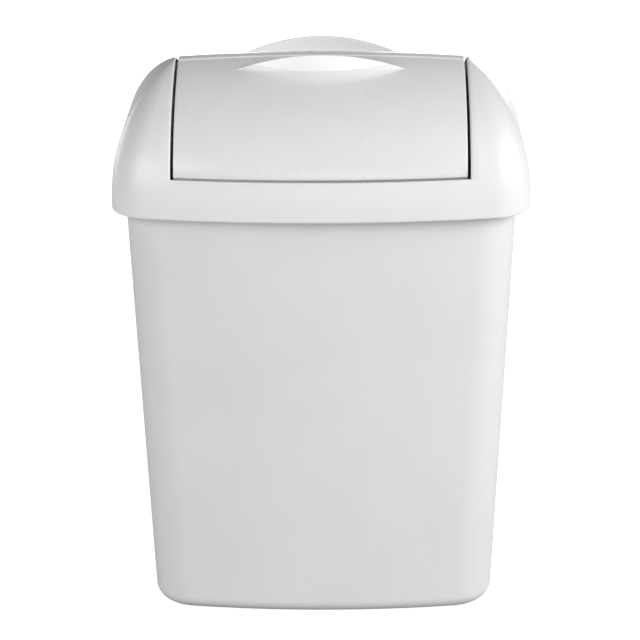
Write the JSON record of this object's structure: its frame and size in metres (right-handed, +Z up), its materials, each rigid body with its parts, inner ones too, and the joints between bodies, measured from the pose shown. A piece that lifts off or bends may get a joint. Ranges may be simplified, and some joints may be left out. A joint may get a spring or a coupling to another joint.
{
  "type": "swing-top litter bin",
  "caption": "Free-standing washroom litter bin: tapered bow-fronted body, liner ring, lift-off domed hood and a rocking flap with grip lips.",
  "frame": {"origin": "on the floor, under the middle of the bin", "axes": "+X to the bin's right as seen from the front, +Y to the rear, +Z up"},
  "size_m": [0.336, 0.227, 0.4671],
  "materials": {
    "body_plastic": "satin white, fine grain",
    "hood_plastic": "satin white",
    "flap_plastic": "satin to gloss white",
    "ring_plastic": "satin grey",
    "pivot_plastic": "natural acetal",
    "pad_rubber": "matt black"
  },
  "bodies": {
    "bin": {"bin_body": "body_plastic", "foot_pad_front_left": "pad_rubber", "foot_pad_front_right": "pad_rubber", "foot_pad_rear_left": "pad_rubber", "foot_pad_rear_right": "pad_rubber"},
    "liner_ring": {"bag_ring": "ring_plastic"},
    "hood": {"hood": "hood_plastic", "pivot_bush_left": "pivot_plastic", "pivot_bush_right": "pivot_plastic"},
    "flap": {"flap_front_panel": "flap_plastic", "flap_rear_panel": "flap_plastic", "flap_spine": "flap_plastic", "flap_end_left": "flap_plastic", "flap_end_right": "flap_plastic", "pivot_pin_left": "pivot_plastic", "pivot_pin_right": "pivot_plastic"}
  },
  "joints": [
    {"name": "ring_lift", "type": "slide", "parent": "bin", "child": "liner_ring", "axis": [0, 0, 1], "range_m": [0, 0.12]},
    {"name": "hood_lift", "type": "slide", "parent": "liner_ring", "child": "hood", "axis": [0, 0, 1], "range_m": [0, 0.15]},
    {"name": "flap_swing", "type": "hinge", "parent": "hood", "child": "flap", "pos_m": [0, 0, 0.4435], "axis": [1, 0, 0], "range_deg": [-65, 65]}
  ]
}
